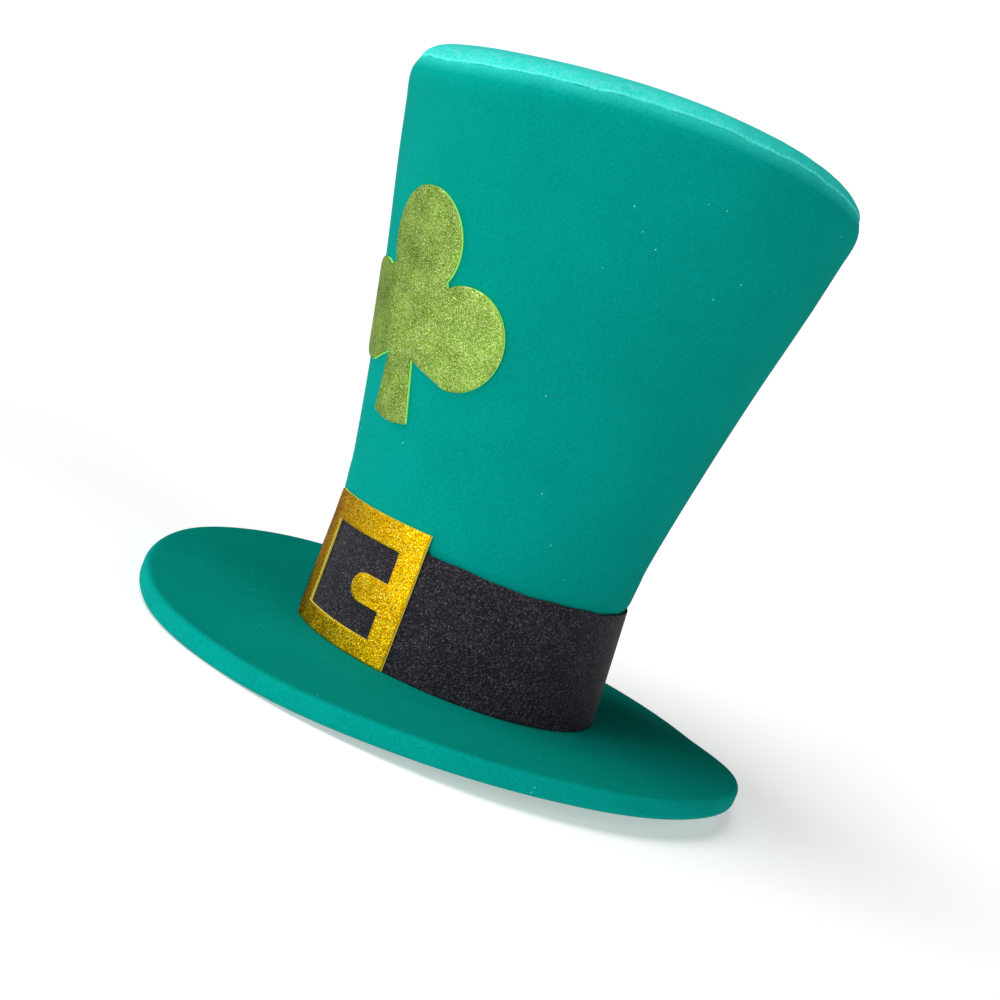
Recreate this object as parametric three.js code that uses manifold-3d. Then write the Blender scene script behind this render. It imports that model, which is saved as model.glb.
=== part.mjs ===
import * as THREE from 'three';
import { mergeVertices } from 'three/addons/utils/BufferGeometryUtils.js';
import Module from 'manifold-3d';

// A tall foam costume hat with a band, a buckle and a shamrock, resting on its brim.
// Millimetres, +Z up, the front towards -Y. The origin is on the surface that the hat
// rests on, below the middle of the brim.

const wasm = await Module();
wasm.setup();

// Brim: a thick foam ring whose sides curl up and whose front and back touch the surface
const brimDiameter = 406;
const brimThickness = 13.9;
const brimEdgeRounding = 4.5;
const headOpeningDiameter = 178;
const brimLift = 6.6;
const brimCurl = 7.8;
const brimFlatMargin = 18;
const restStripWidth = 7;

// Crown: a foam sheet rolled into a flared wall, with a thick foam disc glued on top
const crownWallThickness = 10;
const crownHeight = 357.2;
const crownWaistInset = 3.4;
const crownTopDiameter = 293.6;
const crownNeckTuck = 0.6;
const crownNeckRise = 6;
const bandLeanForward = 5;
const bandLeanLeft = 0.9;
const flareLeanForward = 9.4;
const flareLeanLeft = 3.5;
const seamSaddle = 9.1;
const seamSaddleTurn = -24;
const seamSlant = 3.6;
const seamSlantTurn = 8;
const seamGrooveDepth = 1.2;
const crownTopThickness = 12.7;
const crownTopDome = 19.5;

// Band, buckle and shamrock: thin glitter foam, glued on
const bandHeight = 76.6;
const bandThickness = 2;
const buckleWidth = 93.2;
const buckleOverhang = 9.3;
const buckleThickness = 2;
const buckleTopBar = 16.8;
const buckleLeftBar = 14.4;
const buckleRightBar = 15.8;
const buckleFootBar = 13;
const buckleSkew = 3.3;
const buckleTurn = 1.2;
const tongueLength = 26;
const tongueWidth = 17.6;
const tongueRise = 39.8;
const shamrockWidth = 146;
const shamrockThickness = 2;
const shamrockRise = 210;
const shamrockTurn = -2.5;

// Gaps left between pieces that are glued together, the wider one under a sheet on the flare
const glueGap = 0.3;
const flareGap = 0.45;

// Facets
const facetsAround = 72;
const undersideSteps = 4;
const topsideSteps = 5;
const edgeArcSteps = 3;
const neckSteps = 3;
const innerWallSteps = 4;
const discUndersideSteps = 5;
const outlineDivisions = 8;
const longestOutlineEdge = 16;
const buckleColumns = 18;
const buckleRows = 6;
const shamrockRings = 6;
const cutterReach = 24;

// Waves of the rim round the brim: height as a share of the curl, turn in degrees from +X
const rimWaves = [
  { waves: 1, share: 0.15, turn: 158 },
  { waves: 2, share: 1, turn: 2.4 },
  { waves: 3, share: 0.14, turn: 42 },
  { waves: 4, share: 0.1, turn: 45 },
];

// Flare of the crown above the band: share of the height, share of the widening
const crownFlare = [
  { height: 0, widening: 0 },
  { height: 0.05, widening: 0.01 },
  { height: 0.15, widening: 0.087 },
  { height: 0.34, widening: 0.275 },
  { height: 0.56, widening: 0.515 },
  { height: 0.78, widening: 0.79 },
  { height: 0.9, widening: 0.927 },
  { height: 0.965, widening: 1 },
  { height: 1, widening: 0.975 },
];

// Top face of the crown's disc: share of its radius, share of the dome's height
const domeProfile = [
  { out: 0, rise: 1 },
  { out: 0.41, rise: 0.964 },
  { out: 0.685, rise: 0.795 },
  { out: 0.86, rise: 0.565 },
  { out: 0.94, rise: 0.405 },
  { out: 0.985, rise: 0.22 },
  { out: 1, rise: 0.06 },
];

// Lobes of the shamrock, as shares of its width; turns and arc ends in degrees
const shamrockLobes = [
  { across: 0.284, rise: -0.053, long: 0.219, short: 0.197, turn: 57, from: -150, to: 63 },
  { across: 0.007, rise: 0.284, long: 0.218, short: 0.223, turn: 0, from: -37, to: 212 },
  { across: -0.307, rise: -0.065, long: 0.228, short: 0.222, turn: 135, from: -67, to: 148 },
];

// Stem of the shamrock, as shares of its width, with its foot bulging downwards
const shamrockStem = [
  { level: 'root', rise: -0.2, left: -0.098, right: 0.062 },
  { level: 'foot', rise: -0.459, left: -0.128, right: 0.102 },
];
const shamrockFootBulge = 0.04;

// Sizes worked out from those above
const brimRadius = brimDiameter / 2;
const openingRadius = headOpeningDiameter / 2;
const crownFootRadius = openingRadius + crownWallThickness;
const crownWaistRadius = crownFootRadius - crownWaistInset;
const bandOuterWaist = crownWaistRadius + glueGap + bandThickness;
const crownNeckRadius = bandOuterWaist - crownNeckTuck;
const crownTopRadius = crownTopDiameter / 2;
const brimFlatRadius = crownFootRadius + brimFlatMargin;
const brimTop = brimLift + brimThickness;
const crownFoot = brimTop + glueGap;

const degrees = THREE.MathUtils.degToRad;
const { lerp, clamp } = THREE.MathUtils;

// Share of the way from a to b at which x lies, from 0 to 1
function shareBetween(x, a, b) {
  return clamp((x - a) / (b - a), 0, 1);
}

// A smooth curve through the rows of a table, read at one of its columns
function readTable(table, key, value, at) {
  let row = 1;
  while (row < table.length - 1 && table[row][key] < at) {
    row += 1;
  }
  const p0 = table[Math.max(row - 2, 0)];
  const p1 = table[row - 1];
  const p2 = table[row];
  const p3 = table[Math.min(row + 1, table.length - 1)];
  const span = p2[key] - p1[key];
  const t = shareBetween(at, p1[key], p2[key]);
  const slope1 = (p2[value] - p0[value]) / (p2[key] - p0[key]);
  const slope2 = (p3[value] - p1[value]) / (p3[key] - p1[key]);
  const t2 = t * t;
  const t3 = t2 * t;
  return (2 * t3 - 3 * t2 + 1) * p1[value] + (t3 - 2 * t2 + t) * span * slope1
    + (3 * t2 - 2 * t3) * p2[value] + (t3 - t2) * span * slope2;
}

// Radius of the crown's outer face at a height above the brim
function crownRadius(height) {
  if (height <= bandHeight) {
    return lerp(crownFootRadius, crownWaistRadius, shareBetween(height, 0, bandHeight));
  }
  const roll = shareBetween(height, bandHeight, bandHeight + crownNeckRise);
  const neck = lerp(crownWaistRadius, crownNeckRadius, Math.sin(roll * Math.PI / 2));
  const share = shareBetween(height, bandHeight, crownHeight);
  return neck + (crownTopRadius - crownNeckRadius) * readTable(crownFlare, 'height', 'widening', share);
}

// Radius of the band's outer face, carried on above its upper edge
function bandRadius(height) {
  const taper = crownWaistInset * height / bandHeight;
  return crownFootRadius - taper + glueGap + bandThickness;
}

// How far the saddle and slant of the seam raise a point of the top, from its middle to its rim
function seamRaise(out, angle) {
  const saddle = seamSaddle * Math.cos(2 * (angle - degrees(seamSaddleTurn)));
  const slant = seamSlant * Math.cos(angle - degrees(seamSlantTurn));
  return saddle * out * out + slant * out;
}

// A point of the crown: radius, angle and height above the brim, with the saddle and lean
function crownPoint(radius, angle, height) {
  const low = shareBetween(height, 0, bandHeight);
  const stretch = shareBetween(height, bandHeight, crownHeight);
  const out = radius / crownRadius(height);
  const left = bandLeanLeft * low + flareLeanLeft * stretch;
  const forward = bandLeanForward * low + flareLeanForward * stretch;
  return new THREE.Vector3(
    radius * Math.cos(angle) - left,
    radius * Math.sin(angle) - forward,
    crownFoot + height + seamRaise(out, angle) * stretch,
  );
}

// Height that the curl gives the brim at a radius and an angle, stopped by the surface
function brimRaise(radius, angle) {
  const reach = (radius ** 2 - brimFlatRadius ** 2) / (brimRadius ** 2 - brimFlatRadius ** 2);
  const wave = rimWaves.reduce(
    (sum, row) => sum + row.share * Math.cos(row.waves * (angle - degrees(row.turn))),
    0,
  );
  return Math.max(brimCurl * wave * clamp(reach, 0, 1), -brimLift);
}

// A ring or disc turned from a profile of radius and height, then moved to its real shape
function turned(profile, place) {
  const points = profile.map((p) => new THREE.Vector2(p[0], p[1]));
  const blank = new THREE.LatheGeometry(points, facetsAround);
  blank.rotateX(Math.PI / 2);
  return reshaped(blank, (p) => place(Math.hypot(p.x, p.y), Math.atan2(p.y, p.x), p.z));
}

// A closed shape whose every point is moved by a function
function reshaped(blank, place) {
  const position = blank.getAttribute('position');
  const p = new THREE.Vector3();
  for (let i = 0; i < position.count; i += 1) {
    p.fromBufferAttribute(position, i);
    const moved = place(p, i);
    position.setXYZ(i, moved.x, moved.y, moved.z);
  }
  return welded(blank);
}

// The same surface with each point held once
function welded(geometry) {
  geometry.deleteAttribute('normal');
  geometry.deleteAttribute('uv');
  return mergeVertices(geometry, 1e-4);
}

// Evenly spaced values from one to the other, both included
function spaced(from, to, steps) {
  return Array.from({ length: steps + 1 }, (_, i) => lerp(from, to, i / steps));
}

// The rounding of the brim's edge in its profile, between two angles in degrees
function profileArc(centreRadius, centreHeight, from, to) {
  return spaced(degrees(from), degrees(to), edgeArcSteps).map((a) => [
    centreRadius + brimEdgeRounding * Math.cos(a),
    centreHeight + brimEdgeRounding * Math.sin(a),
  ]);
}

// The same values with one more halfway between each two
function withMiddles(values) {
  return values.flatMap((value, i) => (i === 0 ? [value] : [(values[i - 1] + value) / 2, value]));
}

function makeBrim() {
  const edge = brimRadius - brimEdgeRounding;
  const underside = spaced(brimFlatRadius, edge - restStripWidth, undersideSteps);
  const topside = spaced(edge, brimFlatRadius, topsideSteps);
  const profile = [
    [openingRadius, 0],
    ...underside.map((r) => [r, 0]),
    ...profileArc(edge, brimEdgeRounding, -90, 0),
    ...profileArc(edge, brimThickness - brimEdgeRounding, 0, 90),
    ...topside.slice(1).map((r) => [r, brimThickness]),
    [openingRadius, brimThickness],
    [openingRadius, 0],
  ];
  return turned(profile, (radius, angle, height) => new THREE.Vector3(
    radius * Math.cos(angle),
    radius * Math.sin(angle),
    brimLift + height + brimRaise(radius, angle),
  ));
}

function makeCrownWall() {
  const neckTop = bandHeight + crownNeckRise;
  const neckClearance = crownNeckRise / 2;
  const flare = crownFlare.map((row) => lerp(bandHeight, crownHeight, row.height));
  const outerHeights = [
    0,
    ...spaced(bandHeight, neckTop, neckSteps),
    ...withMiddles(flare).filter((h) => h > neckTop + neckClearance && h < crownHeight),
  ];
  const innerHeights = [
    ...spaced(crownHeight, neckTop, innerWallSteps),
    bandHeight,
    0,
  ];
  const profile = [
    ...outerHeights.map((h) => [crownRadius(h), h]),
    [crownRadius(crownHeight), crownHeight - seamGrooveDepth],
    [crownRadius(crownHeight) - seamGrooveDepth, crownHeight],
    ...innerHeights.map((h) => [crownRadius(h) - crownWallThickness, h]),
    [crownFootRadius, 0],
  ];
  return turned(profile, crownPoint);
}

function makeCrownTop() {
  const foot = crownHeight + glueGap;
  const rim = crownRadius(crownHeight);
  const seat = rim - crownWallThickness;
  const dome = (radius) => foot + crownTopDome * readTable(domeProfile, 'out', 'rise', radius / rim);
  const underside = (radius) => Math.max(foot, dome(radius) - crownTopThickness);
  const profile = [
    ...spaced(0, seat, discUndersideSteps).map((r) => [r, underside(r)]),
    [rim - seamGrooveDepth, foot],
    ...domeProfile.toReversed().map((row) => [row.out * rim, foot + row.rise * crownTopDome]),
  ];
  return turned(profile, crownPoint);
}

function makeHatBand() {
  const heights = [0, bandHeight];
  const profile = [
    ...heights.map((h) => [bandRadius(h), h]),
    ...heights.toReversed().map((h) => [bandRadius(h) - bandThickness, h]),
    [bandRadius(0), 0],
  ];
  return turned(profile, crownPoint);
}

// A point of a thin sheet lying on the crown: across and up the sheet, and out of its face
function sheetPoint(across, up, out, seat, turn) {
  const radius = seat(up);
  const angle = degrees(turn - 90) + across / radius;
  return crownPoint(radius + out, angle, up);
}

// A closed triangle mesh as a solid that can be cut
function solid(geometry) {
  return new wasm.Manifold(new wasm.Mesh({
    numProp: 3,
    vertProperties: new Float32Array(geometry.getAttribute('position').array),
    triVerts: new Uint32Array(geometry.getIndex().array),
  }));
}

// The triangle mesh of a solid
function meshOf(body) {
  const cut = body.getMesh();
  const geometry = new THREE.BufferGeometry();
  geometry.setAttribute('position', new THREE.BufferAttribute(cut.vertProperties, 3));
  geometry.setIndex(new THREE.BufferAttribute(cut.triVerts, 1));
  return geometry;
}

function makeBuckle() {
  const height = bandHeight + buckleOverhang;
  const seat = (up) => Math.max(bandRadius(up), crownRadius(up)) + glueGap;
  const skew = (p) => 1 + (buckleSkew / height) * (p.x / buckleWidth);
  const bend = (p) => sheetPoint(p.x, p.y * skew(p), p.z, seat, buckleTurn);
  const blank = new THREE.BoxGeometry(buckleWidth, height, buckleThickness, buckleColumns, buckleRows);
  blank.translate(0, height / 2, buckleThickness / 2);

  const left = buckleLeftBar - buckleWidth / 2;
  const right = buckleWidth / 2 - buckleRightBar;
  const low = buckleFootBar;
  const high = height - buckleTopBar;
  const half = tongueWidth / 2;
  const window = new THREE.Shape();
  const tip = right - tongueLength + half;
  window.moveTo(left, low);
  window.lineTo(right, low);
  window.lineTo(right, tongueRise - half);
  window.lineTo(tip, tongueRise - half);
  window.absarc(tip, tongueRise, half, -Math.PI / 2, Math.PI / 2, true);
  window.lineTo(right, tongueRise + half);
  window.lineTo(right, high);
  window.lineTo(left, high);
  const cutter = new THREE.ExtrudeGeometry(window, {
    depth: buckleThickness + 2 * cutterReach,
    bevelEnabled: false,
    curveSegments: outlineDivisions,
  });
  cutter.translate(0, 0, -cutterReach);
  return meshOf(solid(reshaped(blank, bend)).subtract(solid(reshaped(cutter, bend))));
}

// Outline of the shamrock, counter-clockwise from the right end of its foot
function shamrockOutline() {
  const [root, foot] = shamrockStem;
  const outline = new THREE.Path();
  const share = (x) => x * shamrockWidth;
  outline.moveTo(share(foot.right), share(foot.rise));
  outline.lineTo(share(root.right), share(root.rise));
  for (const lobe of shamrockLobes) {
    outline.absellipse(
      share(lobe.across),
      share(lobe.rise),
      share(lobe.long),
      share(lobe.short),
      degrees(lobe.from),
      degrees(lobe.to),
      false,
      degrees(lobe.turn),
    );
  }
  outline.lineTo(share(root.left), share(root.rise));
  outline.lineTo(share(foot.left), share(foot.rise));
  outline.quadraticCurveTo(
    share((foot.left + foot.right) / 2),
    share(foot.rise - shamrockFootBulge),
    share(foot.right),
    share(foot.rise),
  );
  return divided(outline.getPoints(outlineDivisions).slice(0, -1));
}

// A closed outline with its long edges divided, so that a bent sheet follows the crown
function divided(points) {
  return points.flatMap((point, i) => {
    const next = points[(i + 1) % points.length];
    const parts = Math.ceil(point.distanceTo(next) / longestOutlineEdge);
    return spaced(0, 1, parts).slice(0, -1).map((share) => point.clone().lerp(next, share));
  });
}

function makeShamrock() {
  const outline = shamrockOutline();
  const rings = spaced(0, 1, shamrockRings);
  const profile = [
    ...rings.map((r) => new THREE.Vector2(r, 0)),
    ...rings.toReversed().map((r) => new THREE.Vector2(r, 1)),
  ];
  const blank = new THREE.LatheGeometry(profile, outline.length);
  const seat = (up) => crownRadius(up) + flareGap;
  return reshaped(blank, (p, index) => {
    const column = Math.floor(index / profile.length) % outline.length;
    const ring = Math.hypot(p.x, p.z);
    const across = outline[column].x * ring;
    const up = shamrockRise + outline[column].y * ring;
    return sheetPoint(across, up, p.y * shamrockThickness, seat, shamrockTurn);
  });
}

// Finishes
const greenFoam = { color: 0x009682, roughness: 0.95, metalness: 0 };
const blackGlitter = { color: 0x23212a, roughness: 0.75, metalness: 0.1 };
const goldGlitter = { color: 0xe0b010, roughness: 0.45, metalness: 0.4 };
const limeGlitter = { color: 0x8cb446, roughness: 0.6, metalness: 0.2 };

function piece(name, geometry, finish) {
  const mesh = new THREE.Mesh(geometry, new THREE.MeshStandardMaterial(finish));
  mesh.name = name;
  return mesh;
}

const hat = new THREE.Group();
hat.add(piece('brim', makeBrim(), greenFoam));
hat.add(piece('crown_wall', makeCrownWall(), greenFoam));
hat.add(piece('crown_top', makeCrownTop(), greenFoam));
hat.add(piece('hat_band', makeHatBand(), blackGlitter));
hat.add(piece('buckle', makeBuckle(), goldGlitter));
hat.add(piece('shamrock', makeShamrock(), limeGlitter));

export default hat;
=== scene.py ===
import bmesh
import bpy
import numpy as np
from mathutils import Matrix


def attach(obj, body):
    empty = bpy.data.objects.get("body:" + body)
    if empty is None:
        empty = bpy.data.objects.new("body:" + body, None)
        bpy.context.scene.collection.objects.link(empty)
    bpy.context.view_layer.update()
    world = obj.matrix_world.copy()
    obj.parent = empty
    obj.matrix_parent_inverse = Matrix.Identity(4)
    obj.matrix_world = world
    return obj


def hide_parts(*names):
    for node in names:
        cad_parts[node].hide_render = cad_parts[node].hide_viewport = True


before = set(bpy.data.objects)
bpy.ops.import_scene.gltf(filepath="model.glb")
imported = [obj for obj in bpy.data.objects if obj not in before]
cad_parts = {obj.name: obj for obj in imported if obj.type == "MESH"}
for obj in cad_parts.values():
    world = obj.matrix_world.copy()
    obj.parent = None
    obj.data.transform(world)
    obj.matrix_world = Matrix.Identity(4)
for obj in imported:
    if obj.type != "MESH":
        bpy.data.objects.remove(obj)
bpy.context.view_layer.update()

# Brim. One ring of soft green foam about 14 mm thick, cut from a sheet and rounded along its
# edges. It is glued to the foot of the crown. Its sides curl up, and its front and back dip
# until they touch the surface that the hat rests on.

brim_radius = 0.203
opening_radius = 0.089
brim_thickness = 0.0139
brim_lift = 0.0066
brim_curl = 0.0078
level_ring_radius = 0.117
rim_edge_rounding = 0.0044
opening_edge_rounding = 0.0015
settle_width = 0.0006
rim_trim = 0.0005
hand_cut_depth = 0.0003
outline_spacing = 0.004
rim_waves = ((1, 0.15, 158), (2, 1.0, 2.4), (3, 0.14, 42), (4, 0.1, 45))
# The brim's green is the wall's foam made darker: painted shade.
shaded_brim_foam = (0.0004, 0.232, 0.185, 1)
foam_of_wall = (0.0006, 0.297, 0.254, 1)
# The top's green is the same foam made lighter: painted light.
lit_top_foam = (0.033, 0.612, 0.533, 1)
# Paler greyish patches on the top: partly pale foam and partly painted sheen.
pale_and_sheen_foam = (0.11, 0.63, 0.575, 1)
# Pale crumbs along the seam: partly pale cut foam and partly a painted highlight of the seam line.
crumb_and_highlight_colour = (0.10, 0.76, 0.69, 1)
foam_flakes = (0.22, 0.74, 0.68, 1)
grain_scale = 900
cloud_scale = 22
patch_scale = 240
crumb_scale = 520
flake_scale = 230
rarest_flakes = 0.982
flake_radius = 0.07
# Within this depth of the rim, the brim's rim face is painted lighter, near the wall's green: painted light
# on the face that looks out.
rim_face_depth = 0.003
rim_face_tone = 0.9


def rim_rise(radius, angle):
    """The cosine waves of the rim, each at its share of the curl, added up and multiplied by a
    share that grows with the square of the radius outside the level ring. Where the sum would
    pass through the surface below, it levels out along a smooth maximum."""
    reach = (radius**2 - level_ring_radius**2) / (brim_radius**2 - level_ring_radius**2)
    waves = sum(share * np.cos(count * (angle - np.radians(turn))) for count, share, turn in rim_waves)
    above = brim_curl * waves * np.clip(reach, 0, 1) + brim_lift
    return (above + np.sqrt(above**2 + settle_width**2)) / 2 - brim_lift


def rounded_loop(corners, roundings, spacing):
    """A closed outline with square corners, each replaced by a quarter circle of its own radius,
    and with its straight runs divided evenly."""
    corners = np.array(corners, float)
    into = corners - np.roll(corners, 1, 0)
    into /= np.linalg.norm(into, axis=1)[:, None]
    onward = np.roll(into, -1, 0)
    sweep = np.linspace(0, np.pi / 2, 9)[:, None]
    arcs = [
        corner + r * (ahead - behind) + r * (behind * np.sin(sweep) - ahead * np.cos(sweep))
        for corner, behind, ahead, r in zip(corners, into, onward, roundings)
    ]
    outline = []
    for arc, following in zip(arcs, arcs[1:] + arcs[:1]):
        gap = following[0] - arc[-1]
        steps = max(int(np.linalg.norm(gap) / spacing), 1)
        outline += [arc, arc[-1] + gap * np.arange(1, steps)[:, None] / steps]
    return np.concatenate(outline)


def foam_piece(name, points, closed=True, cut_rows=(), **marks):
    """A mesh of quads through a grid of points. Its last column joins its first, and so does its
    last row where the piece is closed; otherwise its first and last rows each shrink to a point.
    The faces are turned round where the volume that they enclose comes out negative. Marks are
    numbers kept at the points, and the rows that were cut with a knife get the second material."""
    rows, columns = points.shape[:2]
    index = np.arange(rows * columns).reshape(rows, columns)
    beside, above = np.roll(index, -1, 1), np.roll(index, -1, 0)
    quads = np.stack([index, beside, np.roll(above, -1, 1), above], -1)
    row_of = np.broadcast_to(np.arange(rows)[:, None], (rows, columns))
    if not closed:
        quads, row_of = quads[:-1], row_of[:-1]
    flat, quads = points.reshape(-1, 3), quads.reshape(-1, 4)
    a, b, c, d = (flat[quads[:, k]] for k in range(4))
    volume = (np.cross(b, c) * a).sum() + (np.cross(c, d) * a).sum()
    if volume < 0:
        quads = quads[:, ::-1]
    mesh = bpy.data.meshes.new(name)
    mesh.from_pydata(flat, [], quads)
    mesh.polygons.foreach_set("use_smooth", np.ones(len(quads), bool))
    mesh.polygons.foreach_set("material_index", np.isin(row_of.ravel(), cut_rows).astype(np.int32))
    for mark, values in marks.items():
        layer = mesh.attributes.new(mark, "FLOAT", "POINT")
        layer.data.foreach_set("value", np.broadcast_to(values, (rows, columns)).astype(np.float32).ravel())
    if not closed:
        merged = bmesh.new()
        merged.from_mesh(mesh)
        bmesh.ops.remove_doubles(merged, verts=merged.verts, dist=1e-7)
        merged.to_mesh(mesh)
        merged.free()
    piece = bpy.data.objects.new(name, mesh)
    bpy.context.scene.collection.objects.link(piece)
    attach(piece, "root")
    return piece


def add_node(material, kind, inputs, **settings):
    """One shader node with its settings. An input that is another node's socket is linked, and
    any other is set as a number or a colour."""
    made = material.node_tree.nodes.new(kind)
    for key, value in settings.items():
        setattr(made, key, value)
    for key, value in inputs.items():
        if isinstance(value, bpy.types.NodeSocket):
            material.node_tree.links.new(value, made.inputs[key])
        else:
            made.inputs[key].default_value = value
    return made


def blended(material, share, first, second):
    """The colour that lies the share of the way from the first to the second."""
    return add_node(material, "ShaderNodeMix", {0: share, 6: first, 7: second}, data_type="RGBA").outputs[2]


def between(material, value, low, high, out_low=0.0, out_high=1.0):
    """A value carried from one range to another and held at its ends."""
    limits = {"Value": value, "From Min": low, "From Max": high, "To Min": out_low, "To Max": out_high}
    return add_node(material, "ShaderNodeMapRange", limits).outputs[0]


def combined(material, operation, first, second):
    """Two values put together by one sum."""
    return add_node(material, "ShaderNodeMath", {0: first, 1: second}, operation=operation).outputs[0]


def new_finish(name):
    """An empty material with its shader, and the object coordinates that its patterns follow."""
    material = bpy.data.materials.new(name)
    material.use_nodes = True
    shader = material.node_tree.nodes["Principled BSDF"]
    place = add_node(material, "ShaderNodeTexCoord", {}).outputs["Object"]
    return material, shader, place


def scaled(material, vector, factor):
    """A colour or a direction times a number."""
    inputs = {0: vector, "Scale": factor}
    return add_node(material, "ShaderNodeVectorMath", inputs, operation="SCALE").outputs[0]


def noise(material, place, scale, detail):
    """A cloudy value that follows a place, with so many clouds to the metre and so many finer
    layers on top of each other."""
    inputs = {"Vector": place, "Scale": scale, "Detail": detail}
    return add_node(material, "ShaderNodeTexNoise", inputs).outputs[0]


def attribute(material, mark):
    """A mark kept at the points of a piece."""
    return add_node(material, "ShaderNodeAttribute", {}, attribute_name=mark).outputs["Fac"]


def make_green_foam():
    """Matt foam. A mark of painted light and shade runs from the brim's darker green, which is painted
    shade, over the wall's green to the top's lighter green, which is painted light, and the top has
    paler greyish patches, partly pale foam and partly painted sheen. All of it is multiplied by the
    sum of a fine grain and of slow clouds. Bright crumbs, partly pale cut foam and partly a painted
    highlight of the seam, lie where the mark of fraying and highlight, plus a coarse grain, is high,
    and pale flakes where a cell's number is high and its middle is near."""
    material, shader, place = new_finish("green_foam")
    link = material.node_tree.links.new
    grain = noise(material, place, grain_scale, 3)
    cloud = noise(material, place, cloud_scale, 4)
    patch = noise(material, place, patch_scale, 5)
    crumb = noise(material, place, crumb_scale, 4)
    flake = add_node(material, "ShaderNodeTexVoronoi", {"Vector": place, "Scale": flake_scale})
    flake_number = add_node(material, "ShaderNodeSeparateColor", {0: flake.outputs["Color"]}).outputs[0]
    # This mark carries painted light and shade: darker on the brim, lighter on the top and under the seam,
    # darker high on the wall and on one side of the top.
    tone = attribute(material, "tone")
    fray = attribute(material, "fray")
    on_top = between(material, tone, 1.8, 2)
    # Patches on the top only, partly pale foam and partly painted sheen.
    pale_and_sheen_patches = combined(material, "MULTIPLY", between(material, patch, 0.42, 0.78), on_top)
    low_skin = blended(material, between(material, tone, 0, 1), shaded_brim_foam, foam_of_wall)
    skin = blended(material, between(material, tone, 1, 2), low_skin, lit_top_foam)
    skin = blended(material, pale_and_sheen_patches, skin, pale_and_sheen_foam)
    shade = combined(material, "ADD", between(material, grain, 0.3, 0.7, 0.83, 1.11),
                     between(material, cloud, 0.3, 0.7, -0.03, 0.07))
    rare = between(material, flake_number, rarest_flakes, rarest_flakes + 0.002)
    near = between(material, flake.outputs["Distance"], flake_radius, flake_radius + 0.05, 1, 0)
    # The seam's crumbs: partly pale cut foam and partly a painted highlight of the seam line.
    ragged = combined(material, "ADD", fray, between(material, crumb, 0.3, 0.7, -0.25, 0.25))
    crumbly_and_highlit = between(material, ragged, 0.3, 0.85)
    colour = blended(material, crumbly_and_highlit, scaled(material, skin, shade), crumb_and_highlight_colour)
    colour = blended(material, combined(material, "MULTIPLY", rare, near), colour, foam_flakes)
    link(colour, shader.inputs["Base Color"])
    link(between(material, grain, 0.3, 0.7, 0.82, 0.98), shader.inputs["Roughness"])
    relief = combined(material, "ADD", grain, combined(material, "MULTIPLY", crumbly_and_highlit, crumb))
    bump = add_node(material, "ShaderNodeBump", {"Height": relief, "Strength": 0.6, "Distance": 0.00015})
    link(bump.outputs[0], shader.inputs["Normal"])
    shader.inputs["Specular IOR Level"].default_value = 0.015
    return material


green_foam = make_green_foam()
brim_profile = rounded_loop(
    [(opening_radius, 0), (brim_radius, 0), (brim_radius, brim_thickness), (opening_radius, brim_thickness)],
    [opening_edge_rounding, rim_edge_rounding, rim_edge_rounding, opening_edge_rounding],
    outline_spacing,
)
around = np.linspace(0, 2 * np.pi, 361)[None, :-1]
out, level = brim_profile[:, :1], brim_profile[:, 1:]
towards_rim = (out / brim_radius) ** 6
hand_cut = hand_cut_depth * (np.sin(7 * around + 0.6) + 0.7 * np.sin(12 * around + 2.1))
radius = out + (hand_cut - rim_trim) * towards_rim
brim_points = np.stack([radius * np.cos(around), radius * np.sin(around),
                        brim_lift + level + rim_rise(radius, around)], -1)
# Painted light: the rim face is lighter than the brim's top.
painted_rim_light = np.clip((out - brim_radius + rim_face_depth) / 0.002, 0, 1)
brim_foam = foam_piece("brim_foam", brim_points, tone=rim_face_tone * painted_rim_light, fray=0.0)
brim_foam.data.materials.append(green_foam)
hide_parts("brim")

# Crown wall. One sheet of the same foam, 10 mm thick, rolled into a tube that flares towards
# the top, with its two ends glued edge to edge at the back. It stands on the brim and leans a
# little forwards, and its upper edge is rolled over towards the seam with the top.

crown_height = 0.3572
wall_thickness = 0.010
waist_inset = 0.0034
crown_top_radius = 0.1468
band_height = 0.0766
band_thickness = 0.002
glue_gap = 0.0003
neck_tuck = 0.0006
neck_rise = 0.006
bulge_above_band = 0.0006
bulge_height = 0.028
band_lean = (0.0009, 0.005)
flare_lean = (0.0035, 0.0094)
seam_saddle = (0.0091, -24)
seam_slant = (0.0036, 8)
upper_edge_roll = 0.0023
upper_edge_swing = 0.05
upper_edge_turn = 230
upper_edge_height = 0.020
upper_edge_rounding = 0.0002
# Over this last height below the seam the wall's outer face is painted lighter, towards the top's green:
# painted light where it rolls over.
painted_light_height = 0.015
# The wall's top edge, within this height, is painted pale: partly crumbs and partly the seam's painted
# highlight.
wall_fray = 0.55
frayed_height = 0.0006
# From this height, over this rise, the wall is painted darker by this much of the tone and stays so above:
# painted shade.
painted_shade_from = 0.12
painted_shade_over = 0.09
deepened_tone = 0.33
waviness = 0.00022
waves_start_over = 0.04
seam_wander_depth = 0.00025
seam_wander_height = 0.02
joint_groove = 0.0009
joint_width = 0.0011
joint_pucker = 0.0004
joint_pucker_width = 0.005
joint_waver = 0.003
joint_radius = 0.12
column_crowding = 0.85
foot_radius = opening_radius + wall_thickness
waist_radius = foot_radius - waist_inset
neck_radius = waist_radius + glue_gap + band_thickness - neck_tuck
crown_foot = brim_lift + brim_thickness + glue_gap
crown_flare = np.array([(0, 0), (0.05, 0.01), (0.15, 0.087), (0.34, 0.275), (0.56, 0.515),
                        (0.78, 0.79), (0.9, 0.927), (0.965, 1), (1, 0.975)])


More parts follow.
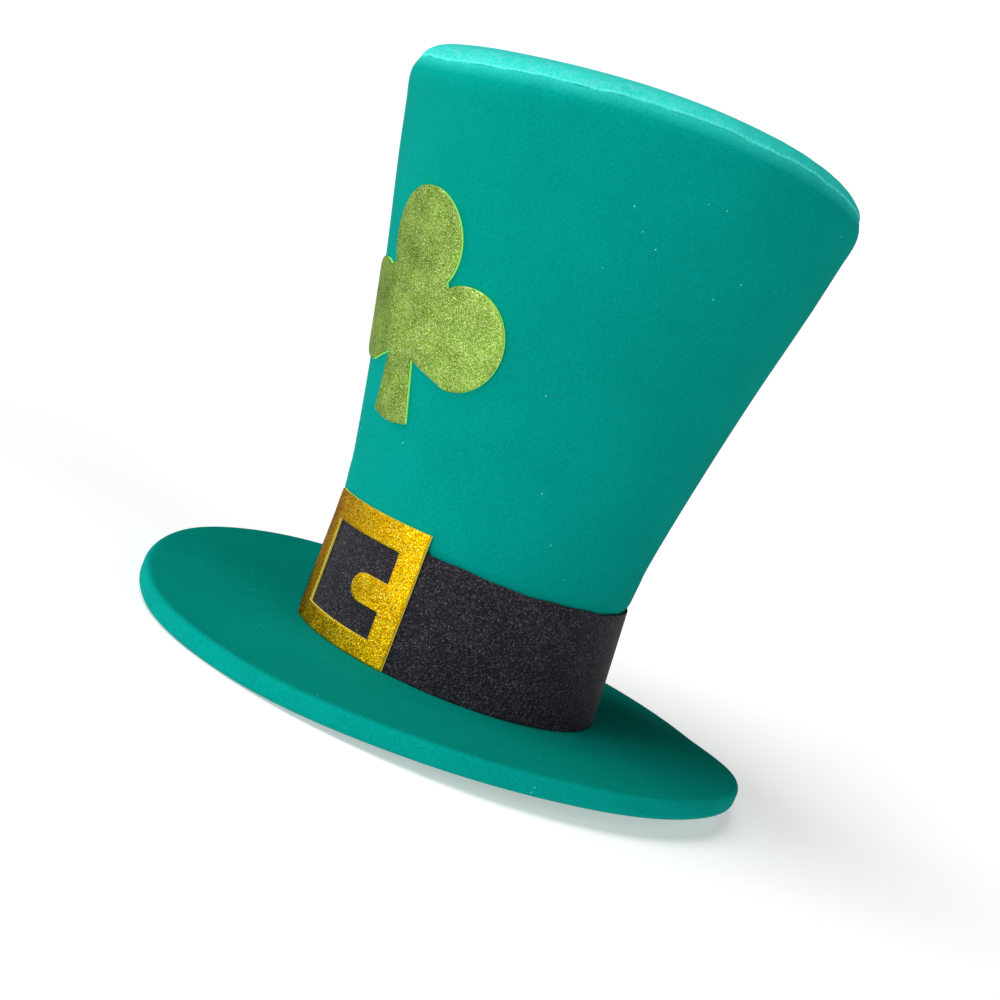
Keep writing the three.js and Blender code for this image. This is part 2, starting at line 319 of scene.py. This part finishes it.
def smooth_table(table, at):
    """A cubic curve through the rows of a table. Its slope at each row is that of the straight
    line between the rows on either side."""
    at = np.clip(at, table[0, 0], table[-1, 0])
    row = np.clip(np.searchsorted(table[:, 0], at), 1, len(table) - 1)
    before, after = np.maximum(row - 2, 0), np.minimum(row + 1, len(table) - 1)
    x0, x1, x2, x3 = (table[k, 0] for k in (before, row - 1, row, after))
    y0, y1, y2, y3 = (table[k, 1] for k in (before, row - 1, row, after))
    share = (at - x1) / (x2 - x1)
    leaving, arriving = (y2 - y0) / (x2 - x0) * (x2 - x1), (y3 - y1) / (x3 - x1) * (x2 - x1)
    return ((2 * share**3 - 3 * share**2 + 1) * y1 + (share**3 - 2 * share**2 + share) * leaving
            + (3 * share**2 - 2 * share**3) * y2 + (share**3 - share**2) * arriving)


def crown_radius(height):
    """Radius of the wall's outer face: straight from the foot in to the waist under the band, out
    over the band's edge along a quarter of a sine, and above that along the table of the flare,
    with the square of a sine added where the foam bulges over the band."""
    low = foot_radius - waist_inset * np.clip(height / band_height, 0, 1)
    roll = np.clip((height - band_height) / neck_rise, 0, 1)
    neck = waist_radius + (neck_radius - waist_radius) * np.sin(roll * np.pi / 2)
    share = np.clip((height - band_height) / (crown_height - band_height), 0, 1)
    widened = (crown_top_radius - neck_radius) * smooth_table(crown_flare, share)
    bulge = bulge_above_band * np.sin(np.pi * np.clip((height - band_height) / bulge_height, 0, 1)) ** 2
    return np.where(height <= band_height, low, neck + widened + bulge)


def hand_waviness(angle, height):
    """How far the foam stands out of its even shape: three slow waves round it and up it, each a
    quarter of a millimetre at most, and none of them under the band."""
    free = np.clip((height - band_height) / waves_start_over, 0, 1)
    waves = (np.sin(3 * angle + 11 * height + 0.8) + 0.8 * np.sin(5 * angle - 19 * height + 2.0)
             + 0.6 * np.sin(2 * angle + 31 * height + 4.1))
    return waviness * waves * free


def on_crown(radius, angle, height):
    """The point of the crown at a radius, angle and height. The middle line leans left and
    forwards, first along the band and then along the flare, and the upper part is raised by a
    saddle, twice round, and a slant, once round, that grow with the height and the radius."""
    low = np.clip(height / band_height, 0, 1)
    stretch = np.clip((height - band_height) / (crown_height - band_height), 0, 1)
    share = radius / crown_radius(height)
    saddle = seam_saddle[0] * np.cos(2 * (angle - np.radians(seam_saddle[1]))) * share**2
    slant = seam_slant[0] * np.cos(angle - np.radians(seam_slant[1])) * share
    return np.stack([
        radius * np.cos(angle) - band_lean[0] * low - flare_lean[0] * stretch,
        radius * np.sin(angle) - band_lean[1] * low - flare_lean[1] * stretch,
        crown_foot + height + (saddle + slant) * stretch,
    ], -1)


def edge_roll(angle):
    """How far the wall's upper edge is rolled in: a mean value times one plus a cosine, because
    the sheet was pulled in further on one side."""
    return upper_edge_roll * (1 + upper_edge_swing * np.cos(angle - np.radians(upper_edge_turn)))


def seam_wander(angle):
    """How far the seam at the top wanders up and down round the crown."""
    return seam_wander_depth * (np.sin(9 * angle + 1.0) + np.sin(17 * angle + 3.0) + 0.7 * np.sin(41 * angle))


turn = np.linspace(0, 1, 361)[None, :-1]
round_from_joint = 2 * np.pi * turn - column_crowding * np.sin(2 * np.pi * turn)
joint_round = np.pi / 2 + round_from_joint
from_joint = (round_from_joint + np.pi) % (2 * np.pi) - np.pi
rising = np.concatenate([
    np.linspace(0, band_height - 0.004, 10),
    np.linspace(band_height - 0.003, band_height + 0.014, 18),
    np.linspace(band_height + 0.019, crown_height - 0.021, 46),
    np.linspace(crown_height - 0.0195, crown_height - upper_edge_rounding, 26),
])
edge_sweep = np.linspace(0, np.pi / 2, 6)[1:]
falling = np.linspace(crown_height, 0, 26)
inset = np.concatenate([np.zeros_like(rising), upper_edge_rounding * (1 - np.cos(edge_sweep)),
                        np.linspace(0.0015, wall_thickness - 0.001, 6),
                        np.full_like(falling, wall_thickness)])
height = np.concatenate([rising, crown_height - upper_edge_rounding * (1 - np.sin(edge_sweep)),
                         np.full(6, crown_height), falling])
inset, height = inset[:, None], height[:, None]
rolled = np.clip((height - crown_height + upper_edge_height) / upper_edge_height, 0, 1) ** 2
across_joint = joint_radius * (from_joint + joint_waver * np.sin(23 * height))
groove = joint_groove * np.exp(-(across_joint / joint_width) ** 2)
pucker = joint_pucker * np.exp(-(across_joint / joint_pucker_width) ** 2)
on_face = np.where(inset < wall_thickness / 2, 1.0, 0.0)
stands_out = (hand_waviness(joint_round, height) + pucker - groove) * on_face
radius = crown_radius(height) - inset - edge_roll(joint_round) * rolled + stands_out
near_seam = np.clip((height - crown_height + seam_wander_height) / seam_wander_height, 0, 1)
raised = height + seam_wander(joint_round) * near_seam
# Painted shade: the wall grows darker from low on the flare upwards.
painted_shade_up_wall = np.clip((height - painted_shade_from) / painted_shade_over, 0, 1)
# Painted light: the outer face grows lighter over the last of its height.
painted_light_near_seam = np.clip((height - crown_height) / painted_light_height + 1, 0, 1) ** 1.5
wall_foam = foam_piece(
    "crown_wall_foam", on_crown(radius, joint_round, raised),
    tone=1 - deepened_tone * painted_shade_up_wall + painted_light_near_seam * on_face,
    fray=wall_fray * np.exp((height - crown_height) / frayed_height) * on_face,
)
wall_foam.data.materials.append(green_foam)
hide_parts("crown_wall")

# Crown top. One thick disc of the same foam, glued on the wall's upper edge and gently domed.
# Its cut rim is a little ragged and pale, and with a painted highlight along it, it shows as the
# bright line of the seam. Its green is lighter than the wall's as painted light, and darker towards
# one side as painted shade.

dome_rise = 0.0201
dome_swell = 0.0026
dome_swell_turn = 152
top_thickness = 0.0127
top_gap = 0.00002
rim_edge = 0.00015
rim_lift = 0.0006
rim_over_wall = 0.0001
rag_depth = 0.0002
dimple_depth = 0.00015
# The top's rim is painted pale over this width, and its skin more faintly over the wider one: partly pale cut
# foam, partly a painted highlight of the seam.
rim_fray = 0.62
rim_fray_width = 0.0006
skin_fray = 0.1
skin_fray_width = 0.006
# One side of the top, turned this many degrees, is painted darker by this much of the tone: painted shade.
shaded_side_turn = 47
fresh_side_tone = 0.35
dome_profile = np.array([(0, 0.97), (0.41, 0.935), (0.685, 0.785), (0.86, 0.575),
                         (0.94, 0.42), (0.985, 0.21), (1, 0.04)])
disc_radius = crown_radius(np.array([crown_height]))[0] - upper_edge_roll
disc_foot = crown_height + top_gap


def dome_level(share):
    """Height of the top's upper face: the dome's rise times its table, read at a share of the
    disc's radius."""
    return disc_foot + dome_rise * smooth_table(dome_profile, share)


under_share = np.linspace(0, 1 - rim_edge / disc_radius, 16)
over_share = 1 - np.concatenate([[0, 0.0025], np.linspace(0, 1, 60)[1:] ** 1.8 * 0.996 + 0.004])
under_level = np.maximum(disc_foot, dome_level(under_share) - top_thickness)
share = np.concatenate([under_share, [1.0, 1.0], over_share])[:, None]
rim_foot = disc_foot + rim_edge * np.array([0.4, 0.8])
level = np.concatenate([under_level, rim_foot, dome_level(over_share)])[:, None]
level[len(under_share) + 2] = disc_foot + rim_lift
ragged = rag_depth * (np.sin(29 * around + 1.3) + np.sin(47 * around) + np.sin(13 * around + 2))
wall_edge_radius = disc_radius + upper_edge_roll - edge_roll(around) + hand_waviness(around, crown_height)
radius = share * (wall_edge_radius + rim_over_wall) + ragged * share**8
upper = np.arange(len(share))[:, None] >= len(under_share)
dimples = dimple_depth * (np.sin(2 * around + 60 * radius) + np.sin(3 * around - 41 * radius + 1))
swell = dome_swell * (0.5 + 0.5 * np.cos(around - np.radians(dome_swell_turn)))
uneven = share * ((1 - share**4) * dimples + (1 - share**16) * swell)
level = level + seam_wander(around) * share**12 + np.where(upper, uneven, 0)
# Painted shade: the top is darker towards one side, more so towards its rim.
shaded_side = np.clip(np.cos(around - np.radians(shaded_side_turn)), 0, 1) * share
past_rim = (share - 1) * disc_radius
frayed = rim_fray * np.exp(past_rim / rim_fray_width) + skin_fray * np.exp(past_rim / skin_fray_width)
top_foam = foam_piece(
    "crown_top_foam", on_crown(radius, around, level), closed=False,
    tone=2 - fresh_side_tone * shaded_side, fray=frayed * upper,
)
top_foam.data.materials.append(green_foam)
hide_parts("crown_top")

# Hat band. One strip of black glitter foam 2 mm thick, glued round the foot of the crown with
# its end lapped over its start at the back. Its upper edge was cut by hand, so it wanders.

band_edge_rounding = 0.0005
band_spacing = 0.003
band_gap = 0.0002
band_wander_depth = 0.0003
lap_thickness = 0.0017
lap_ends = (-0.085, 0.06)
lap_start_width = 0.006
lap_end_width = 0.03
glitter_cloud_scale = 60


def glitter_foam(name, ground, grains, grain_size, roughness, metallic, tilt, edge_tint):
    """A foam sheet under glitter. Each grain is a cell with a random number: the number picks its
    colour from a table of shares and colours, and leans its face away from the sheet's. The mark of
    painted shade on the left is taken off its brightness."""
    material, shader, place = new_finish(name)
    link = material.node_tree.links.new
    cells = add_node(material, "ShaderNodeTexVoronoi", {"Vector": place, "Scale": 1 / grain_size})
    numbers = add_node(material, "ShaderNodeSeparateColor", {0: cells.outputs["Color"]})
    colour = ground
    for from_share, grain_colour in grains:
        chosen = between(material, numbers.outputs[0], from_share, from_share + 0.02)
        colour = blended(material, chosen, colour, grain_colour)
    shade = between(material, noise(material, place, glitter_cloud_scale, 3), 0.3, 0.7, 0.0, 0.22)
    edge = between(material, cells.outputs["Distance"], 0.35, 0.75, 0.0, 0.45)
    darker = combined(material, "ADD", combined(material, "ADD", shade, edge), attribute(material, "worn"))
    link(scaled(material, colour, combined(material, "SUBTRACT", 1.0, darker)), shader.inputs["Base Color"])
    link(between(material, numbers.outputs[1], 0, 1, roughness[0], roughness[1]), shader.inputs["Roughness"])
    leaning = add_node(material, "ShaderNodeVectorMath", {0: cells.outputs["Color"], 1: (0.5, 0.5, 0.5)},
                       operation="SUBTRACT").outputs[0]
    bump = add_node(material, "ShaderNodeBump", {"Height": cells.outputs["Distance"], "Strength": 0.35,
                                                 "Distance": grain_size * 0.3})
    lean = scaled(material, leaning, tilt)
    tilted = add_node(material, "ShaderNodeVectorMath", {0: bump.outputs[0], 1: lean}, operation="ADD")
    straight = add_node(material, "ShaderNodeVectorMath", {0: tilted.outputs[0]}, operation="NORMALIZE")
    link(straight.outputs[0], shader.inputs["Normal"])
    shader.inputs["Metallic"].default_value = metallic
    shader.inputs["Specular IOR Level"].default_value = 0.2
    shader.inputs["Specular Tint"].default_value = edge_tint
    return material


black_glitter = glitter_foam(
    "black_glitter_foam", (0.015, 0.0145, 0.0185, 1),
    ((0.4, (0.034, 0.032, 0.039, 1)), (0.78, (0.082, 0.074, 0.088, 1)),
     (0.96, (0.17, 0.145, 0.16, 1))),
    0.00075, (0.5, 0.75), 0.0, 0.4, (0.5, 0.45, 0.6, 1),
)


def band_face(height):
    """Radius of the band's outer face, which follows the taper of the wall under it."""
    return foot_radius - waist_inset * height / band_height + band_gap + band_thickness


def band_wander(angle):
    """How far the band's upper edge wanders up and down."""
    return band_wander_depth * (np.sin(4 * angle + 0.5) + np.sin(9 * angle + 2.4) + 0.8 * np.sin(21 * angle))


band_profile = rounded_loop(
    [(0, 0), (0, band_height), (band_thickness, band_height), (band_thickness, 0)],
    [band_edge_rounding] * 4, band_spacing,
)
inset, height = band_profile[:, :1], band_profile[:, 1:]
past_start = np.clip((from_joint - lap_ends[0]) / lap_start_width, 0, 1)
before_end = np.clip((lap_ends[1] - from_joint) / lap_end_width, 0, 1)
lapped = past_start * before_end
raised = height + band_wander(joint_round) * np.clip(height / band_height, 0, 1) ** 3
radius = band_face(height) - inset + lap_thickness * lapped * (inset < band_thickness * 0.6)
band_sheet = foam_piece("band_glitter_foam", on_crown(radius, joint_round, raised))
band_sheet.data.materials.append(black_glitter)
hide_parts("hat_band")

# Buckle. One frame cut with a knife from gold glitter foam 2 mm thick, with a stub of a tongue
# left standing on its right side. It is glued flat on the band and clears the wall's bulge above
# it. The cut edges show the yellow foam under the glitter.

buckle_width = 0.0932
buckle_height = band_height + 0.0093
buckle_thickness = 0.002
buckle_spacing = 0.0015
left_bar, right_bar, top_bar, foot_bar = 0.0144, 0.0158, 0.0168, 0.013
buckle_skew = 0.0033
buckle_turn = 1.2
buckle_step = 0.0006
buckle_step_foot = 0.050
# The buckle's left part is painted darker by up to this share: painted shade.
buckle_painted_shade = 0.42
tongue_length = 0.026
tongue_half = 0.0088
tongue_rise = 0.0398
cut_rounding = 0.0004
pore_scale = 2600


def lying_on_crown(across, up, out, face, turn):
    """A point of a sheet that lies on the crown: across becomes an angle round the crown, from
    the front turned by some degrees, up stays a height, and out is added to the face's radius."""
    angle = np.radians(turn - 90) + across / face(up)
    return on_crown(face(up) + hand_waviness(angle, up) + out, angle, up)


def cut_sheet_rows(thickness, rounding, steps):
    """The section of a cut sheet from its inner edge over its face to its outer edge and back
    below, as rows of a share of the way across, an offset and a height over its underside."""
    cut = 0.3 * rounding
    face = [(s, 0, thickness) for s in np.linspace(0, 1, steps)[1:-1]]
    return np.array([(0, 0, 0), (0, 0, thickness - rounding), (0, cut, thickness - cut),
                     (0, rounding, thickness), *face, (1, -rounding, thickness),
                     (1, -cut, thickness - cut), (1, 0, thickness - rounding), (1, 0, 0), (0.5, 0, 0)])


def evenly(points, spacing):
    """Points along a chain of straight runs, each run divided into equal steps."""
    points = np.array(points, float)
    runs = []
    for start, end in zip(points, np.roll(points, -1, 0)):
        steps = max(int(np.ceil(np.abs(end - start).max() / spacing)), 1)
        runs.append(start + (end - start) * np.arange(steps)[:, None] / steps)
    return np.concatenate(runs)


window_left = left_bar - buckle_width / 2
window_right = buckle_width / 2 - right_bar
window_low, window_high = foot_bar, buckle_height - top_bar
half_width = buckle_width / 2
tip = window_right - tongue_length + tongue_half
spread = 0.6 * tongue_half
bend = np.linspace(-np.pi / 2, np.pi / 2, 25)
pairs = [
    (window_right, window_low, half_width, 0),
    (window_right, tongue_rise - tongue_half, half_width, tongue_rise - tongue_half),
    *[(tip - tongue_half * np.cos(a), tongue_rise + tongue_half * np.sin(a),
       half_width, tongue_rise + spread * np.sin(a)) for a in bend],
    (window_right, tongue_rise + tongue_half, half_width, tongue_rise + tongue_half),
    (window_right, window_high, half_width, buckle_height),
    (window_left, window_high, -half_width, buckle_height),
    (window_left, window_low, -half_width, 0),
]
pairs = evenly(pairs, buckle_spacing)
inner, outer = pairs[None, :, :2], pairs[None, :, 2:]
section = cut_sheet_rows(buckle_thickness, cut_rounding, 10)
share, offset, out = (section[:, k][:, None] for k in range(3))
reach = np.linalg.norm(outer - inner, axis=-1)
flat = inner + (outer - inner) * (share + offset / reach)[..., None]
skewed = flat[..., 1] * (1 + buckle_skew / buckle_height * flat[..., 0] / buckle_width)


def buckle_face(up):
    """Radius under the buckle: the band's face, and near its top a smooth step out of it, cubic in
    the height, that clears the foam that bulges over the band."""
    step = np.clip((up - buckle_step_foot) / (buckle_height - buckle_step_foot), 0, 1)
    return band_face(up) + glue_gap + buckle_step * step**2 * (3 - 2 * step)


buckle_points = lying_on_crown(flat[..., 0], skewed, out, buckle_face, buckle_turn)
edge_rows = [0, len(section) - 3]
# Painted shade, darker towards the left bar.
worn_left = buckle_painted_shade * np.clip(0.5 - flat[..., 0] / buckle_width, 0, 1) ** 1.5
buckle_sheet = foam_piece("buckle_glitter_foam", buckle_points, cut_rows=edge_rows, worn=worn_left)
gold_glitter = glitter_foam(
    "gold_glitter_foam", (0.78, 0.36, 0.0, 1),
    ((0.25, (0.92, 0.51, 0.0, 1)), (0.55, (1.0, 0.65, 0.004, 1)), (0.88, (1.0, 0.88, 0.12, 1))),
    0.0007, (0.38, 0.48), 0.8, 0.24, (0.7, 0.3, 0.02, 1),
)


def cut_foam(name, colour, deeper, painted_glow):
    """The side of a thin foam sheet: fine open pores between two shades of its colour. It also glows
    a little of its own colour, a painted glow that makes the cut edge brighter than the lamps do."""
    material, shader, place = new_finish(name)
    pores = noise(material, place, pore_scale, 2)
    link = material.node_tree.links.new
    shade = blended(material, between(material, pores, 0.35, 0.65), deeper, colour)
    link(shade, shader.inputs["Base Color"])
    link(between(material, pores, 0, 1, 0.75, 0.95), shader.inputs["Roughness"])
    bump = add_node(material, "ShaderNodeBump", {"Height": pores, "Strength": 0.5, "Distance": 0.0001})
    link(bump.outputs[0], shader.inputs["Normal"])
    # Painted glow: the cut foam gives off a little light of its own colour.
    shader.inputs["Emission Color"].default_value = colour
    shader.inputs["Emission Strength"].default_value = painted_glow
    return material


buckle_sheet.data.materials.append(gold_glitter)
# The last number is the painted glow of the cut edges.
yellow_cut = cut_foam("yellow_cut_foam", (0.95, 0.78, 0.14, 1), (0.80, 0.62, 0.06, 1), 0.25)
buckle_sheet.data.materials.append(yellow_cut)
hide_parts("buckle")

# Shamrock. One three-leaved shamrock with a stem, cut with a knife from lime glitter foam 2 mm
# thick and glued on the front of the crown. Its cut edges show bright lime foam.

shamrock_width = 0.146
shamrock_thickness = 0.002
shamrock_gap = 0.0002
shamrock_spacing = 0.0014
# The shamrock's left part is painted darker by up to this share: painted shade.
shamrock_painted_shade = 0.42
shamrock_rise = 0.210
shamrock_turn = -2.5
lobes = (
    (0.284, -0.053, 0.219, 0.197, 57, -150, 63),
    (0.007, 0.284, 0.218, 0.223, 0, -37, 212),
    (-0.307, -0.056, 0.224, 0.214, 135, -67, 148),
)
stem_root = (-0.2, -0.098, 0.062)
stem_foot = (-0.459, -0.128, 0.102)
foot_bulge = 0.04


def lobe_arc(across, rise, long, short, turn, start, end):
    """Part of an ellipse from one angle to another, turned and moved to its place."""
    sweep, turned = np.radians(np.linspace(start, end, 90)), np.radians(turn)
    x, y = long * np.cos(sweep), short * np.sin(sweep)
    return np.stack([across + x * np.cos(turned) - y * np.sin(turned),
                     rise + x * np.sin(turned) + y * np.cos(turned)], -1)


def foot_curve():
    """The stem's foot: a parabola from its left corner to its right one."""
    t = np.linspace(0, 1, 16)[:, None]
    left, right = np.array([stem_foot[1], stem_foot[0]]), np.array([stem_foot[2], stem_foot[0]])
    return left + (right - left) * t - np.array([0, 2 * foot_bulge]) * t * (1 - t)


outline = shamrock_width * np.concatenate([
    [(stem_foot[2], stem_foot[0]), (stem_root[2], stem_root[0])],
    *[lobe_arc(*lobe) for lobe in lobes],
    [(stem_root[1], stem_root[0])],
    foot_curve()[:-1],
])
outline = evenly(outline, shamrock_spacing)[None]
section = np.array([(0, 0, 0), (0.5, 0, 0), (1, 0, 0), (1, 0, shamrock_thickness - cut_rounding),
                    (1, -0.25 * cut_rounding, shamrock_thickness - 0.3 * cut_rounding),
                    (1, -cut_rounding, shamrock_thickness),
                    *[(s, 0, shamrock_thickness) for s in np.linspace(1, 0, 26)[1:]]])
share, offset, out = (section[:, k][:, None] for k in range(3))
reach = np.linalg.norm(outline, axis=-1)
flat = outline * (share + offset / reach)[..., None]
shamrock_points = lying_on_crown(
    flat[..., 0], shamrock_rise + flat[..., 1], out + shamrock_gap, crown_radius, shamrock_turn,
)
# Painted shade, darker towards the left.
worn_left = shamrock_painted_shade * np.clip(0.5 - flat[..., 0] / shamrock_width, 0, 1)
shamrock_sheet = foam_piece(
    "shamrock_glitter_foam", shamrock_points, closed=False, cut_rows=[2], worn=worn_left,
)
lime_glitter = glitter_foam(
    "lime_glitter_foam", (0.25, 0.50, 0.05, 1),
    ((0.25, (0.35, 0.60, 0.085, 1)), (0.55, (0.53, 0.75, 0.16, 1)), (0.84, (0.88, 0.98, 0.40, 1))),
    0.0006, (0.4, 0.5), 0.65, 0.30, (0.5, 0.7, 0.2, 1),
)
shamrock_sheet.data.materials.append(lime_glitter)
# The last number is the painted glow of the cut edges.
lime_cut = cut_foam("lime_cut_foam", (0.40, 0.98, 0.20, 1), (0.30, 0.85, 0.12, 1), 0.35)
shamrock_sheet.data.materials.append(lime_cut)
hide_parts("shamrock")

# Floor, light and camera. A plain pale floor that glows a little, as a light table does, a white
# room behind it, a wide soft light high on the left, a weaker one on the right and two low on the
# left, and the camera turned as the photograph is.

floor_radius = 12.0
floor_level = -0.0001
floor_corners = 96
floor_ring = 2 * np.pi * np.arange(floor_corners) / floor_corners
floor_edge = np.stack([floor_radius * np.cos(floor_ring), floor_radius * np.sin(floor_ring),
                       np.full(floor_corners, floor_level)], -1)
floor_mesh = bpy.data.meshes.new("floor")
floor_mesh.from_pydata(floor_edge, [], [list(range(floor_corners))])
floor = bpy.data.objects.new("floor", floor_mesh)
bpy.context.scene.collection.objects.link(floor)
floor_paint, floor_shader, floor_place = new_finish("pale_floor")
floor_cloud = noise(floor_paint, floor_place, 3, 2)
floor_paint.node_tree.links.new(
    between(floor_paint, floor_cloud, 0.3, 0.7, 0.85, 0.95), floor_shader.inputs["Roughness"])
floor_shader.inputs["Base Color"].default_value = (0.8, 0.8, 0.8, 1)
floor_shader.inputs["Emission Color"].default_value = (1, 1, 1, 1)
floor_shader.inputs["Emission Strength"].default_value = 0.4
floor_mesh.materials.append(floor_paint)

camera_place = np.array([1.008356, -0.9416883, 0.3275675])
camera_right = np.array([0.5867729, 0.7156334, 0.3789016])
camera_up = np.array([-0.3556735, -0.1925923, 0.9145516])
camera_back = np.array([0.7274572, -0.6713993, 0.1415238])


def placed(obj, place, right, up, back):
    """Sets an object's own axes to three directions and its origin to a place."""
    matrix = np.eye(4)
    matrix[:3, :3] = np.stack([right, up, back], 1)
    matrix[:3, 3] = place
    obj.matrix_world = Matrix(matrix.tolist())
    bpy.context.scene.collection.objects.link(obj)


def soft_light(name, turn, rise, power, width):
    """Even light from one direction, turned from the camera's own and raised from the floor by
    some degrees, and as soft as from a lamp that spans a width of so many degrees."""
    turned = np.arctan2(camera_back[1], camera_back[0]) + np.radians(turn)
    raised = np.radians(rise)
    back = np.array([np.cos(raised) * np.cos(turned), np.cos(raised) * np.sin(turned), np.sin(raised)])
    right = np.array([-np.sin(turned), np.cos(turned), 0])
    light = bpy.data.lights.new(name, "SUN")
    light.energy, light.angle = power, np.radians(width)
    placed(bpy.data.objects.new(name, light), 2 * back, right, np.cross(back, right), back)


soft_light("high_left_light", -60, 62, 2.1, 45)
soft_light("right_light", 50, 25, 0.85, 45)
soft_light("low_left_light", -43, 7, 1.3, 22)
soft_light("far_left_light", -97, 10, 1.05, 40)
bpy.context.scene.view_settings.view_transform = "Standard"

room = bpy.data.worlds.new("white_room")
room.use_nodes = True
bpy.context.scene.world = room
room.node_tree.nodes["Background"].inputs["Color"].default_value = (1, 1, 1, 1)
seen = room.node_tree.nodes.new("ShaderNodeLightPath")
strength = room.node_tree.nodes.new("ShaderNodeMapRange")
strength.inputs["To Min"].default_value = 0.0
strength.inputs["To Max"].default_value = 1.1
room.node_tree.links.new(seen.outputs["Is Camera Ray"], strength.inputs["Value"])
room.node_tree.links.new(strength.outputs[0], room.node_tree.nodes["Background"].inputs["Strength"])

camera = bpy.data.cameras.new("camera")
camera.sensor_width = 36.0
camera.lens = 79.2
camera_object = bpy.data.objects.new("camera", camera)
placed(camera_object, camera_place, camera_right, camera_up, camera_back)
bpy.context.scene.camera = camera_object
